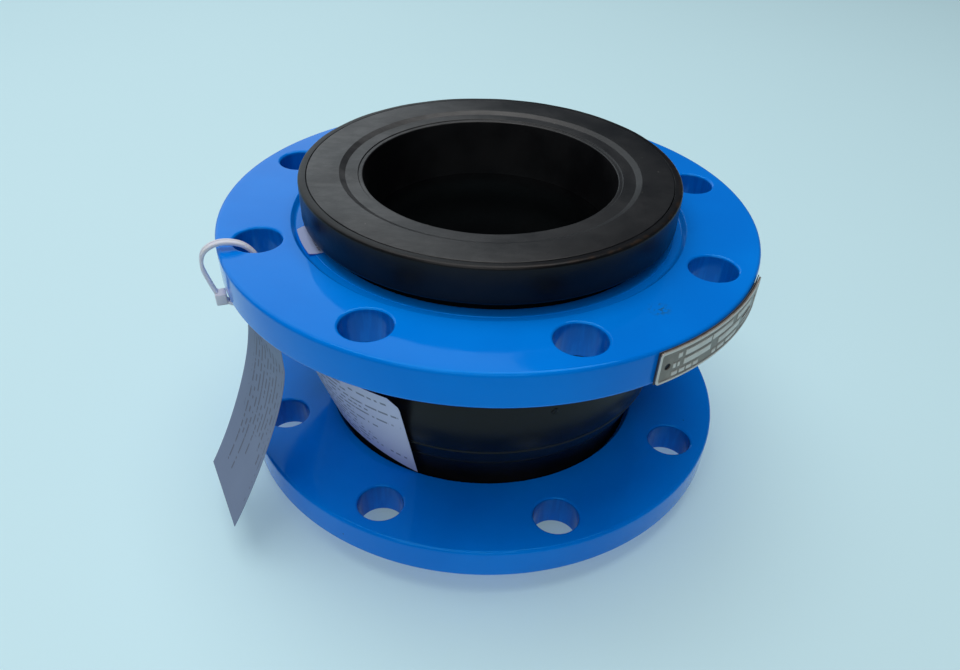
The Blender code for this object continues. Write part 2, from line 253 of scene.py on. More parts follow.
def rounded(corners, steps=5):
    """The outline of (radius, height, rounding) corners, each rounded by an arc of that radius."""
    outline = []
    for index, (radius, height, rounding) in enumerate(corners):
        here = Vector((radius, height))
        if not rounding:
            outline.append(here)
            continue
        back = (Vector(corners[index - 1][:2]) - here).normalized()
        ahead = (Vector(corners[(index + 1) % len(corners)][:2]) - here).normalized()
        half = back.angle(ahead) / 2
        centre = here + (back + ahead).normalized() * rounding / math.sin(half)
        first = here + back * rounding / math.tan(half) - centre
        last = here + ahead * rounding / math.tan(half) - centre
        turn = first.angle(last)
        for step in range(steps + 1):
            share = step / steps
            place = (first * math.sin((1 - share) * turn) + last * math.sin(share * turn)) / math.sin(turn)
            outline.append(centre + place)
    return outline


def ring_mesh(name, outline, segments):
    """The closed outline of (radius, height) points turned round the pipe axis."""
    count = len(outline)
    points = []
    faces = []
    for step in range(segments):
        points += [polar(place[0], 360 * step / segments, place[1]) for place in outline]
        here = step * count
        there = (step + 1) % segments * count
        for index in range(count):
            after = (index + 1) % count
            faces.append((here + index, here + after, there + after, there + index))
    return mesh_from(name, points, faces)


def at_end(corners, upper):
    """Corners given from the sealing face inwards, placed at the lower or the upper end."""
    if not upper:
        return corners
    return [(radius, LENGTH - height, *rest) for radius, height, *rest in corners]


def roughen(mesh, amount, size, seed):
    """Moves every point a little along its normal, by smooth noise of that size."""
    for vertex in mesh.vertices:
        place = vertex.co / size + Vector((seed, seed, seed))
        vertex.co += vertex.normal * noise.noise(place) * amount


def weighted_normals(piece):
    """Keeps broad flat faces flat next to their rounded edges."""
    change = piece.modifiers.new("flat faces", "WEIGHTED_NORMAL")
    change.mode = "FACE_AREA"
    change.weight = 80
    change.keep_sharp = True


# ---- materials


class Finish:
    """A material with a Principled shader, and short ways to add nodes to it."""

    def __init__(self, name, colour, roughness, **sockets):
        self.material = bpy.data.materials.new(name)
        self.material.use_nodes = True
        self.tree = self.material.node_tree
        self.shader = self.tree.nodes["Principled BSDF"]
        self.shader.inputs["Base Color"].default_value = (*colour, 1)
        self.shader.inputs["Roughness"].default_value = roughness
        for socket, value in sockets.items():
            self.shader.inputs[socket.replace("_", " ")].default_value = value
        self.place = self.add("ShaderNodeTexCoord").outputs["Object"]

    def add(self, kind, inputs=(), **settings):
        """A node; inputs are (socket, value or output) pairs."""
        node = self.tree.nodes.new(kind)
        for key, value in settings.items():
            setattr(node, key, value)
        for socket, value in inputs:
            if isinstance(value, bpy.types.NodeSocket):
                self.tree.links.new(value, node.inputs[socket])
            else:
                node.inputs[socket].default_value = value
        return node

    def link(self, output, socket):
        self.tree.links.new(output, self.shader.inputs[socket])

    def math(self, operation, *values, clamp=False):
        pairs = list(enumerate(values))
        return self.add("ShaderNodeMath", pairs, operation=operation, use_clamp=clamp).outputs[0]

    def noise(self, size, detail=3.0, roughness=0.5, place=None, distortion=0.0):
        pairs = (
            ("Vector", place or self.place),
            ("Scale", 1 / size),
            ("Detail", detail),
            ("Roughness", roughness),
            ("Distortion", distortion),
        )
        return self.add("ShaderNodeTexNoise", pairs).outputs["Fac"]

    def spots(self, size, place=None):
        """Distance to the nearest of scattered points, about size apart."""
        pairs = (("Vector", place or self.place), ("Scale", 1 / size))
        return self.add("ShaderNodeTexVoronoi", pairs).outputs["Distance"]

    def remap(self, value, low, high, to_low=0.0, to_high=1.0):
        """value from low to high, smoothly turned into to_low to to_high."""
        pairs = ((0, value), (1, low), (2, high), (3, to_low), (4, to_high))
        return self.add("ShaderNodeMapRange", pairs, interpolation_type="SMOOTHSTEP").outputs[0]

    def mix(self, share, first, second):
        node = self.add("ShaderNodeMix", data_type="RGBA")
        for socket, value in ((0, share), (6, first), (7, second)):
            if isinstance(value, bpy.types.NodeSocket):
                self.tree.links.new(value, node.inputs[socket])
            elif socket:
                node.inputs[socket].default_value = (*value, 1)
            else:
                node.inputs[socket].default_value = value
        return node.outputs[2]

    def bump(self, heights):
        """heights are (output, distance, strength), from the broadest to the finest."""
        normal = None
        for output, distance, strength in heights:
            pairs = [("Height", output), ("Distance", distance), ("Strength", strength)]
            if normal:
                pairs.append(("Normal", normal))
            normal = self.add("ShaderNodeBump", pairs).outputs[0]
        self.link(normal, "Normal")

    def radius(self):
        """Distance from the pipe axis."""
        flat = self.add("ShaderNodeVectorMath", ((0, self.place), (1, (1, 1, 0))), operation="MULTIPLY")
        return self.add("ShaderNodeVectorMath", ((0, flat.outputs[0]),), operation="LENGTH").outputs["Value"]

    def height(self):
        return self.add("ShaderNodeSeparateXYZ", ((0, self.place),)).outputs[2]

    def facing_up(self):
        """1 where the surface faces up, 0 where it is upright or faces down."""
        normal = self.add("ShaderNodeNewGeometry").outputs["Normal"]
        return self.remap(self.add("ShaderNodeSeparateXYZ", ((0, normal),)).outputs[2], 0.5, 0.95)


def paint_finish():
    """Thick glossy paint, a little uneven, with a few specks and a small smudge."""
    finish = Finish("blue_paint", PAINT, 0.08, IOR=1.5)
    finish.shader.inputs["Specular Tint"].default_value = (0.1, 0.6, 0.85, 1)
    finish.shader.inputs["Specular IOR Level"].default_value = 0.4
    cloudy = finish.noise(60 * MM, 4)
    colour = finish.mix(finish.remap(cloudy, 0.35, 0.7), PAINT, (0.0, 0.225, 0.85))
    specks = finish.remap(finish.spots(17 * MM), 0.012, 0.03, 0.8, 0)
    colour = finish.mix(specks, colour, (0.0, 0.03, 0.12))
    offset = finish.add("ShaderNodeVectorMath", ((0, finish.place), (1, SMUDGE)), operation="DISTANCE")
    near = finish.remap(offset.outputs["Value"], 1 * MM, 5 * MM, 1, 0)
    smudge = finish.math("MULTIPLY", near, finish.remap(finish.noise(1.8 * MM, 5), 0.5, 0.62, 0, 0.7))
    colour = finish.mix(smudge, colour, (0.02, 0.09, 0.09))
    finish.link(colour, "Base Color")
    worn = finish.noise(18 * MM, 6, 0.65)
    finish.link(finish.remap(worn, 0.3, 0.75, 0.05, 0.13), "Roughness")
    finish.bump((
        (finish.noise(16 * MM, 2), 0.4 * MM, 0.16),
        (finish.noise(6 * MM, 2), 0.1 * MM, 0.16),
        (finish.noise(1.3 * MM, 3), 0.02 * MM, 0.2),
    ))
    return finish.material


def hole_paint_finish():
    """The same paint where it has run over the drilled wall of a bolt hole, darker than on the faces as
    painted shade in the hole; its streaks are runs and painted reflections.
    """
    finish = Finish("shaded_blue_paint_in_holes", PAINT, 0.16, IOR=1.5)
    finish.shader.inputs["Specular Tint"].default_value = (0.2, 0.6, 0.9, 1)
    stretched = finish.add("ShaderNodeMapping", (("Vector", finish.place), ("Scale", (1, 1, 0.12)))).outputs[0]
    streaks = finish.noise(1.6 * MM, 3, place=stretched)
    runs_and_painted_reflections = finish.remap(streaks, 0.42, 0.6)
    # Darker blue than on the faces: painted shade in the hole. The streaks are paint runs and painted
    # reflections.
    finish.link(finish.mix(runs_and_painted_reflections, (0.0, 0.13, 0.56), (0.0, 0.155, 0.62)), "Base Color")
    finish.bump(((streaks, 0.1 * MM, 0.25),))
    return finish.material


def rubber_finish(name, roughness, dust_and_sheen_amount, shine=0.5):
    """Moulded black rubber. Dust lies on its upward faces, heavier on the left as painted sheen of the light
    from the left, and its rim is brownish.
    """
    finish = Finish(name, (0.006, 0.006, 0.007), roughness)
    finish.shader.inputs["Specular IOR Level"].default_value = shine
    mottle = finish.noise(26 * MM, 5, 0.55)
    colour = finish.mix(finish.remap(mottle, 0.35, 0.7), (0.004, 0.004, 0.005), (0.009, 0.009, 0.01))
    up = finish.facing_up()
    rim = finish.remap(finish.radius(), COLLAR_R - 2.2 * MM, COLLAR_R - 0.3 * MM)
    across = finish.add("ShaderNodeSeparateXYZ", ((0, finish.place),)).outputs[0]
    rim = finish.math("MULTIPLY", rim, finish.remap(finish.noise(5 * MM, 6, 0.65), 0.42, 0.62))
    rim = finish.math("MULTIPLY", rim, finish.remap(across, 0, 45 * MM, 0.15, 1))
    colour = finish.mix(finish.math("MULTIPLY", rim, up), colour, (0.03, 0.017, 0.01))
    # Dust heavier to the left: real dust, and painted sheen of the light from the left.
    left = finish.remap(across, -70 * MM, 50 * MM, dust_and_sheen_amount, 0.1 * dust_and_sheen_amount)
    streaked = finish.add("ShaderNodeMapping", (("Vector", finish.place), ("Scale", (0.35, 1, 1)))).outputs[0]
    streaks = finish.noise(3.5 * MM, 8, 0.75, streaked, 0.6)
    patches = finish.math("MULTIPLY", finish.noise(22 * MM, 4, 0.6), streaks)
    dust_and_sheen = finish.math("MULTIPLY", left, finish.remap(patches, 0.14, 0.36, 0.3, 1.35))
    colour = finish.mix(finish.math("MULTIPLY", dust_and_sheen, up), colour, (0.12, 0.12, 0.122))
    motes = finish.remap(finish.spots(9 * MM), 0.015, 0.04, 0.5, 0)
    colour = finish.mix(finish.math("MULTIPLY", motes, up), colour, (0.2, 0.19, 0.18))
    seam = finish.math("ABSOLUTE", finish.math("SUBTRACT", finish.radius(), FACE_R + 0.1 * MM))
    seam = finish.remap(seam, 0.2 * MM, 0.6 * MM, 1, 0)
    seam = finish.math("MULTIPLY", seam, finish.remap(finish.noise(7 * MM, 6, 0.7), 0.46, 0.56))
    colour = finish.mix(finish.math("MULTIPLY", seam, up), colour, (0.001, 0.001, 0.002))
    finish.link(colour, "Base Color")
    finish.link(finish.remap(mottle, 0.3, 0.7, roughness - 0.05, roughness + 0.06), "Roughness")
    finish.bump((
        (finish.noise(9 * MM, 3), 0.3 * MM, 0.3),
        (finish.noise(2.2 * MM, 6, 0.7), 0.12 * MM, 0.4),
        (finish.noise(0.6 * MM, 3), 0.03 * MM, 0.35),
    ))
    return finish.material


def plain_finish(name, colour, roughness, metallic=0.0, grain=1 * MM, strength=0.2):
    """A finish for hidden or small pieces, with a little grain and unevenness."""
    finish = Finish(name, colour, roughness, Metallic=metallic)
    darker = tuple(channel * 0.8 for channel in colour)
    finish.link(finish.mix(finish.noise(grain * 4, 4), colour, darker), "Base Color")
    finish.bump(((finish.noise(grain, 3), grain * 0.05, strength),))
    return finish.material


def cord_finish():
    finish = Finish("cord_ply", (0.25, 0.22, 0.17), 0.8)
    cords = finish.add("ShaderNodeTexWave", (("Vector", finish.place), ("Scale", 250.0), ("Distortion", 1.0)))
    cords.bands_direction = "DIAGONAL"
    finish.link(finish.mix(cords.outputs["Fac"], (0.1, 0.09, 0.07), (0.3, 0.27, 0.2)), "Base Color")
    finish.bump(((cords.outputs["Fac"], 0.3 * MM, 0.5),))
    return finish.material


def plate_finish():
    """Stamped plate, dull silver, a little brown in its hollows."""
    finish = Finish("plate_metal", (0.5, 0.47, 0.43), 0.42, Metallic=0.5)
    raised = finish.remap(finish.radius(), PLATE_FACE_R - 0.34 * MM, PLATE_FACE_R - 0.12 * MM)
    stained = finish.noise(6 * MM, 5, 0.6)
    hollow = finish.mix(finish.remap(stained, 0.35, 0.7), (0.19, 0.16, 0.14), (0.29, 0.25, 0.22))
    finish.link(finish.mix(raised, hollow, (0.62, 0.57, 0.53)), "Base Color")
    finish.link(finish.remap(stained, 0.3, 0.7, 0.3, 0.5), "Roughness")
    finish.bump(((finish.noise(0.35 * MM, 3), 0.02 * MM, 0.4),))
    return finish.material


def nylon_finish():
    finish = Finish("tie_nylon", (0.78, 0.79, 0.87), 0.32, IOR=1.5)
    finish.shader.inputs["Subsurface Weight"].default_value = 0.35
    finish.shader.inputs["Subsurface Radius"].default_value = (0.003, 0.003, 0.004)
    finish.shader.inputs["Transmission Weight"].default_value = 0.15
    finish.link(finish.mix(finish.noise(5 * MM, 3), (0.72, 0.73, 0.83), (0.86, 0.87, 0.93)), "Base Color")
    finish.bump(((finish.noise(0.8 * MM, 2), 0.03 * MM, 0.2),))
    return finish.material


def paper_finish(name, colour, rows, margins):
    """Grey-lilac printed paper. UV runs 0 to 1 along the rows and across them; the print is plain dashes."""
    finish = Finish(name, colour, 0.6)
    uv = finish.add("ShaderNodeUVMap", uv_map="UVMap").outputs[0]
    split = finish.add("ShaderNodeSeparateXYZ", ((0, uv),))
    along, across = split.outputs[0], split.outputs[1]
    scaled = finish.math("MULTIPLY", across, rows)
    row = finish.math("FLOOR", scaled)
    in_row = finish.math("FRACT", scaled)
    line = finish.math("MULTIPLY", finish.remap(in_row, 0.3, 0.36), finish.remap(in_row, 0.66, 0.72, 1, 0))
    dash_place = finish.math("MULTIPLY", along, 34.0)
    row_start = finish.math("MULTIPLY", row, 7.31)
    cell = finish.add("ShaderNodeCombineXYZ", ((0, dash_place), (1, row_start), (2, 0.0)))
    dashes = finish.noise(1.0, 1.0, place=cell.outputs[0])
    print_ = finish.math("MULTIPLY", line, finish.remap(dashes, 0.44, 0.5))
    start, end, first, last = margins
    row_place = finish.math("MULTIPLY", row, 2.77)
    length_of_row = finish.add("ShaderNodeCombineXYZ", ((0, 3.7), (1, row_place), (2, 0.0)))
    short = finish.remap(finish.noise(1.0, 0.0, place=length_of_row.outputs[0]), 0.4, 0.62, 0.0, 0.3)
    stop = finish.math("SUBTRACT", end, short)
    inside = finish.math("GREATER_THAN", along, start)
    inside = finish.math("MULTIPLY", inside, finish.math("LESS_THAN", along, stop))
    inside = finish.math("MULTIPLY", inside, finish.math("GREATER_THAN", across, first))
    inside = finish.math("MULTIPLY", inside, finish.math("LESS_THAN", across, last))
    ink = finish.math("MULTIPLY", finish.math("MULTIPLY", print_, inside), 0.72)
    dark, light = [0.92 * part for part in colour], [1.1 * part for part in colour]
    paper = finish.mix(finish.noise(20 * MM, 4), dark, light)
    finish.link(finish.mix(ink, paper, (0.08, 0.08, 0.12)), "Base Color")
    finish.bump(((finish.noise(14 * MM, 2), 0.6 * MM, 0.3), (finish.noise(0.3 * MM, 2), 0.02 * MM, 0.2)))
    return finish.material


def floor_finish():
    finish = Finish("floor", (0.45, 0.64, 0.69), 0.7)
    glow = finish.shader.inputs
    glow["Emission Color"].default_value = (0.56, 0.79, 0.86, 1)
    glow["Emission Strength"].default_value = 0.25
    finish.link(finish.mix(finish.noise(0.5, 3), (0.44, 0.63, 0.68), (0.47, 0.66, 0.71)), "Base Color")
    finish.bump(((finish.noise(2 * MM, 3), 0.05 * MM, 0.2),))
    return finish.material


# ---- flanges


def flange_sections(low, seat_depth, seat_up):
    """The curved parts of a flange's section, from the bore's side and from the rim's side.

    Each runs from the flat underside to the flat top, or back down, and starts and ends on a flat face.
    """
    corners = [
        (LEAD_IN_R, 0, 0.6 * MM),
        (FLANGE_R, 0, RIM_EDGE),
        (FLANGE_R, FLANGE_T, RIM_EDGE),
        (SEAT_R, FLANGE_T, 0.6 * MM),
        (SEAT_R - SEAT_WALL, FLANGE_T - seat_depth, 1.6 * MM),
        (SEAT_LINE_R, FLANGE_T - seat_depth, 0.1 * MM),
        (SEAT_LINE_R - 0.15 * MM, FLANGE_T - seat_depth + 0.25 * MM, 0.1 * MM),
        (SEAT_LINE_R - 0.35 * MM, FLANGE_T - seat_depth, 0.1 * MM),
        (FLANGE_BORE_R, FLANGE_T - seat_depth, 0.8 * MM),
        (FLANGE_BORE_R, LEAD_IN_H, 0.6 * MM),
    ]
    per_corner = 6
    outline = rounded(corners, per_corner - 1)
    if not seat_up:
        outline = [Vector((place.x, FLANGE_T - place.y)) for place in outline]
    outline = [Vector((place.x, low + place.y)) for place in outline]
    rim = outline[per_corner : 3 * per_corner]
    bore = outline[3 * per_corner :] + outline[:per_corner]
    return rim, bore


def hole_levels(low):
    """(radius, height) down a bolt hole, with a rounded edge at both faces."""
    steps = 6
    edge = []
    for step in range(steps + 1):
        turn = math.pi / 2 * step / steps
        edge.append((BOLT_HOLE_R + HOLE_EDGE * (1 - math.sin(turn)), HOLE_EDGE * (1 - math.cos(turn))))
    levels = [(radius, low + height) for radius, height in edge]
    return levels + [(radius, low + FLANGE_T - height) for radius, height in reversed(edge)]


def strip(points, faces, rows, closed=False):
    """Adds rows of points, joined by quads."""
    count = len(rows[0])
    first = len(points)
    for row in rows:
        points += row
    for level in range(len(rows) - 1):
        for index in range(count if closed else count - 1):
            after = (index + 1) % count
            base = first + level * count
            faces.append((base + index, base + after, base + count + after, base + count + index))


def flange_mesh(name, low, seat_depth, seat_up):
    """A flange in clean quads: each of the eight sectors is a grid that opens out round its bolt hole."""
    rim, bore = flange_sections(low, seat_depth, seat_up)
    sector = 360 / len(BOLT_HOLES)
    steps = 28  # along a sector's arcs
    side_steps = 9  # along its straight sides
    rings = 5
    points, faces = [], []
    for index in range(len(BOLT_HOLES)):
        middle = FIRST_HOLE + sector * index
        centre = polar(BOLT_CIRCLE_R, middle)
        angles = [middle - sector / 2 + sector * step / steps for step in range(steps + 1)]
        for section in (rim, bore):
            strip(points, faces, [[polar(place.x, angle, place.y) for angle in angles] for place in section])
        levels = hole_levels(low)
        if not seat_up:
            levels.reverse()
        rounds = []
        for inner, outer, level in ((bore[-1], rim[0], levels[0]), (bore[0], rim[-1], levels[-1])):
            border = [polar(outer.x, angle) for angle in angles[:-1]]
            shares = [step / side_steps for step in range(side_steps)]
            border += [polar(outer.x + (inner.x - outer.x) * share, angles[-1]) for share in shares]
            border += [polar(inner.x, angle) for angle in angles[:0:-1]]
            border += [polar(inner.x + (outer.x - inner.x) * share, angles[0]) for share in shares]
            hole_round = [centre + (place - centre).normalized() * level[0] for place in border]
            rows = []
            for ring in range(rings + 1):
                share = ring / rings
                rows.append([a.lerp(b, share) + Vector((0, 0, level[1])) for a, b in zip(hole_round, border)])
            strip(points, faces, rows, closed=True)
            rounds.append([(place - centre).normalized() for place in border])
        half = len(levels) // 2
        wall = []
        for number, (radius, height) in enumerate(levels):
            level_centre = centre + Vector((0, 0, height))
            wall.append([level_centre + out * radius for out in rounds[number >= half]])
        strip(points, faces, wall, closed=True)
    return welded(name, points, faces, 0.002 * MM)


def make_flange(node, low, seat_depth, seat_up, paint, shaded_hole_paint):
    mesh = flange_mesh(node, low, seat_depth, seat_up)
    piece = add_piece(node + "_painted", mesh, paint, sharp=60)
    mesh.materials.append(shaded_hole_paint)
    for face in mesh.polygons:
        away = min((Vector((face.center.x, face.center.y, 0)) - hole).length for hole in BOLT_HOLES)
        face.material_index = int(away < BOLT_HOLE_R + 0.1 * MM)
    weighted_normals(piece)
    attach(piece, node)
    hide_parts(node)
    return piece


# ---- rubber body


def seal_corners():
    """The sealing face, sunk round the bore, and the bore's rubber behind it."""
    sunk = SLOPE_DEPTH
    return [
        (BORE_R, NECK_TOP, 0),
        (BORE_R, sunk + 0.35 * MM, 0.5 * MM),
        (50.1 * MM, sunk + 0.35 * MM, 0.15 * MM),
        (50.35 * MM, sunk, 0.15 * MM),
        (SLOPE_R[0], sunk, 0.3 * MM),
        (SLOPE_R[1], 0, 0.5 * MM),
        (FACE_R, 0, 0.3 * MM),
        (FACE_R, SEAL_T, 0),
        (TUBE_R, SEAL_T, 0),
        (TUBE_R, NECK_TOP, 0),
    ]


def collar_corners():
    """The collar's outer rubber: a bead round the sealing face, the side, the back and the neck."""
    inside = FACE_R + 0.15 * MM
    return [
        (inside, 0.1 * MM, 0.2 * MM),
        (COLLAR_R, 0.1 * MM, 1.2 * MM),
        (COLLAR_R, COLLAR_BACK, 1.5 * MM),
        (NECK_R, COLLAR_BACK, 1.6 * MM),
        (NECK_R, NECK_TOP, 0),
        (PLY_R, NECK_TOP, 0),
        (PLY_R, 15.3 * MM, 0),
        (67.8 * MM, 11.7 * MM, 0),
        (inside + MM, 8 * MM, 0),
        (inside, SEAL_T, 0),
    ]


def make_end(side, upper, face_rubber, side_rubber):
    body = side + "_end"
    pieces = (
        ("_sealing_tube", "_sealing_face", seal_corners(), face_rubber),
        ("_collar_cover", "_collar", collar_corners(), side_rubber),
    )
    for seed, (node_suffix, piece_suffix, corners, rubber) in enumerate(pieces):
        outline = rounded(at_end(corners, upper))
        mesh = ring_mesh(side + piece_suffix, outline, SKIN_SEGMENTS)
        roughen(mesh, 0.12 * MM, 14 * MM, seed + 5 * upper)
        piece = add_piece(side + piece_suffix, mesh, rubber)
        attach(piece, body)
        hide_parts(side + node_suffix)


def arch_share(height):
    """0 at the necks, 1 at the crest."""
    middle = LENGTH / 2
    away = min(abs(height - middle) / (middle - NECK_TOP), 1)
    return (1 + math.cos(math.pi * away**ARCH_SWELL)) / 2


def arch_radius(height, share_of_wall):
    """How far from the axis a layer boundary of the arch wall lies; the outer face carries the mould lines."""
    share = arch_share(height)
    inner = BORE_R + (ARCH_INNER_CREST_R - BORE_R) * share
    outer = NECK_R + (ARCH_CREST_R - NECK_R) * share
    radius = inner + (outer - inner) * share_of_wall
    if share_of_wall == 1:
        for line in RING_LINES:
            for place in (line, LENGTH - line):
                radius += RING_LINE_H * math.exp(-(((height - place) / RING_LINE_W) ** 2))
    return radius


# The inner tube takes up the first part of the wall, so the crest of the bore follows from its outer face.
_first_layer = ARCH_WALL[0][2]
ARCH_INNER_CREST_R = (ARCH_BORE_R - ARCH_CREST_R * _first_layer) / (1 - _first_layer)


def make_arch(rubber, bore_rubber, cord):
    for node, start, end in ARCH_WALL:
        skin = start == 0 or end == 1
        segments = SKIN_SEGMENTS if skin else HIDDEN_SEGMENTS
        step = 0.5 * MM if end == 1 else 2 * MM
        for band, low, high, body_low, body_high, bend_low, bend_high in ARCH_BANDS:
            count = max(4, round((high - low) / step))
            heights = [low + (high - low) * index / count for index in range(count + 1)]
            outline = [(arch_radius(height, end), height) for height in heights]
            outline += [(arch_radius(height, start), height) for height in heights[::-1]]
            name = node + "_" + band
            finish = cord if "cord" in node else bore_rubber if node == "arch_inner_tube" else rubber
            piece = add_piece(name, ring_mesh(name, outline, segments), finish)
            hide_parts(node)
            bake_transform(piece)


# ---- nameplate, tie and paper


def smooth(value, low, high):
    share = min(max((value - low) / (high - low), 0), 1)
    return share * share * (3 - 2 * share)


def inside_rectangle(along, up, sides, corner):
    """How far a point lies inside a rectangle with rounded corners, negative outside it."""
    first, last, low, top = sides
    off_along = abs(along - (first + last) / 2) - (last - first) / 2 + corner
    off_up = abs(up - (low + top) / 2) - (top - low) / 2 + corner
    outside = math.hypot(max(off_along, 0), max(off_up, 0))
    return corner - outside - min(max(off_along, off_up), 0)


def plate_sink(along, up, sides):
    """How far the plate's surface lies under its raised border and fields."""
    edge = inside_rectangle(along, up, sides, PLATE_CORNER)
    raised = smooth(edge, PLATE_BORDER + 0.25 * MM, PLATE_BORDER)
    for first, last, low, top in PLATE_FIELDS:
        field = inside_rectangle(along, up, (first * MM, last * MM, low * MM, top * MM), 0.25 * MM)
        raised = max(raised, smooth(field, -0.12 * MM, 0.1 * MM))
    rounding = 0.12 * MM * (1 - smooth(edge, 0, 0.3 * MM))
    return PLATE_SUNK * (1 - raised) + rounding


def make_nameplate(finish):
    """A stamped plate bent round the rim, open at its two nail holes."""
    pitch = 0.22 * MM
    length = PLATE_FACE_R * math.radians(PLATE_TO - PLATE_FROM)
    height = PLATE_TOP - PLATE_LOW
    sides = (0, length, 0, height)
    columns = round(length / pitch)
    rows = round(height / pitch)
    inset = PLATE_FACE_R * math.radians(PLATE_HOLE_INSET)
    nail_holes = [(inset, height / 2), (length - inset, height / 2)]
    spots = {}
    cells = []
    for row in range(rows):
        for column in range(columns):
            along, up = (column + 0.5) * length / columns, (row + 0.5) * height / rows
            in_hole = any(math.hypot(along - x, up - y) < PLATE_HOLE_R for x, y in nail_holes)
            if inside_rectangle(along, up, sides, PLATE_CORNER) < 0 or in_hole:
                continue
            ring = [(column, row), (column + 1, row), (column + 1, row + 1), (column, row + 1)]
            cells.append([spots.setdefault(spot, len(spots)) for spot in ring])
    places = []
    for column, row in spots:
        along, up = column * length / columns, row * height / rows
        for x, y in nail_holes:
            away = math.hypot(along - x, up - y)
            if away < PLATE_HOLE_R + 0.6 * pitch:
                along, up = x + (along - x) * PLATE_HOLE_R / away, y + (up - y) * PLATE_HOLE_R / away
        over = -inside_rectangle(along, up, sides, PLATE_CORNER)
        near_corner = max(min(along, length - along), min(up, height - up)) < PLATE_CORNER
        if over > -0.6 * pitch and near_corner:
            x = min(max(along, PLATE_CORNER), length - PLATE_CORNER)
            y = min(max(up, PLATE_CORNER), height - PLATE_CORNER)
            away = math.hypot(along - x, up - y)
            along, up = x + (along - x) * PLATE_CORNER / away, y + (up - y) * PLATE_CORNER / away
        places.append((along, up))
    points = []
    for back in (False, True):
        for along, up in places:
            radius = PLATE_BACK_R if back else PLATE_FACE_R - plate_sink(along, up, sides)
            points.append(polar(radius, PLATE_FROM + math.degrees(along / PLATE_FACE_R), PLATE_LOW + up))
    count = len(places)
    faces = [tuple(cell) for cell in cells] + [tuple(count + corner for corner in cell) for cell in cells]
    borders = {}
    for cell in cells:
        for index, corner in enumerate(cell):
            edge = (corner, cell[(index + 1) % 4])
            borders[tuple(sorted(edge))] = None if tuple(sorted(edge)) in borders else edge
    faces += [(edge[0], edge[1], count + edge[1], count + edge[0]) for edge in borders.values() if edge]
    mesh = mesh_from("nameplate_stamped", points, faces)
    plate = add_piece("nameplate_stamped", mesh, finish, 50)
    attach(plate, "upper_flange")
    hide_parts("nameplate")


def loop_point(points, place):
    """A point of the smooth closed curve through points, place counted in points from the first."""
    count = len(points)
    index = int(place) % count
    share = place - int(place)
    before, start, end, after = (points[(index + step) % count] for step in (-1, 0, 1, 2))
    return 0.5 * (
        2 * start
        + (end - before) * share
        + (2 * before - 5 * start + 4 * end - after) * share**2
        + (3 * start - before - 3 * end + after) * share**3
    )


def strap_section(notch):
    """The strap's section as (across, out) points: a shallow groove outside and a toothed track inside."""
    wide, thick = TIE_WIDTH / 2, TIE_THICK / 2
    right = [
        (0.0, thick - 0.2 * MM),
        (wide * 0.36, thick - 0.2 * MM),
        (wide * 0.44, thick),
        (wide * 0.85, thick),
        (wide, thick * 0.6),
        (wide, -thick * 0.6),
        (wide * 0.85, -thick),
        (wide * 0.56, -thick),
        (wide * 0.5, notch - thick),
        (0.0, notch - thick),
    ]
    return right + [(-across, out) for across, out in right[-2:0:-1]]


def make_cable_tie(nylon):
    """The toothed strap, closed through its locking head."""
    route = [polar(radius * MM, angle, UPPER_FLANGE_LOW + height * MM) for radius, angle, height in TIE_ROUTE]
    middle = sum(route, Vector()) / len(route)
    along_rim = polar(1, FIRST_HOLE + 90)
    notches = (0.0, 0.3 * MM, 0.3 * MM, 0.12 * MM, 0.0)
    steps = TIE_TEETH * len(notches)
    points, faces = [], []
    rows = []
    for step in range(steps):
        place = len(route) * step / steps
        here = loop_point(route, place)
        forward = (loop_point(route, place + 0.05) - here).normalized()
        side = (along_rim - forward * along_rim.dot(forward)).normalized()
        out = forward.cross(side)
        if out.dot(here - middle) < 0:
            out = -out
        rows.append([here + side * x + out * y for x, y in strap_section(notches[step % len(notches)])])
    rows.append(rows[0])
    strip(points, faces, rows, closed=True)
    mesh = welded("tie_strap", points, faces, 0.001 * MM)
    strap = add_piece("tie_strap", mesh, nylon, 45)

    centre = route[TIE_HEAD_POINT]
    turn = Matrix.Rotation(math.radians(FIRST_HOLE + 90), 4, "Z")
    head_mesh = block("tie_head", Matrix.Translation(centre) @ turn, TIE_HEAD, 0.55 * MM)
    head = add_piece("tie_head", head_mesh, nylon, 35)
    opening = (TIE_WIDTH + 0.5 * MM, 2 * TIE_HEAD[1], TIE_THICK + 0.5 * MM)
    cut(head, block("opening", Matrix.Translation(centre) @ turn, opening, 0.15 * MM))
    head.data.shade_smooth()
    head.data.set_sharp_from_angle(angle=math.radians(35))
    for piece in (strap, head):
        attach(piece, "cable_tie")
        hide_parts("cable_tie")


def block(name, placed, size, rounding):
    shape = bmesh.new()
    bmesh.ops.create_cube(shape, size=1, matrix=Matrix.Diagonal((*size, 1)))
    bmesh.ops.bevel(shape, geom=shape.edges[:], offset=rounding, segments=3, profile=0.5, affect="EDGES")
    bmesh.ops.transform(shape, matrix=placed, verts=shape.verts)
    return mesh_of(name, shape)


def cut(piece, cutter_mesh):
    """Takes the cutter out of the piece for good."""
    cutter = bpy.data.objects.new("cutter", cutter_mesh)
    bpy.context.scene.collection.objects.link(cutter)
    change = piece.modifiers.new("cut", "BOOLEAN")
    change.operation = "DIFFERENCE"
    change.solver = "EXACT"
    change.object = cutter
    bpy.context.view_layer.update()
    result = bpy.data.meshes.new_from_object(piece.evaluated_get(bpy.context.evaluated_depsgraph_get()))
    piece.modifiers.clear()
    piece.data = result
    bpy.data.objects.remove(cutter)


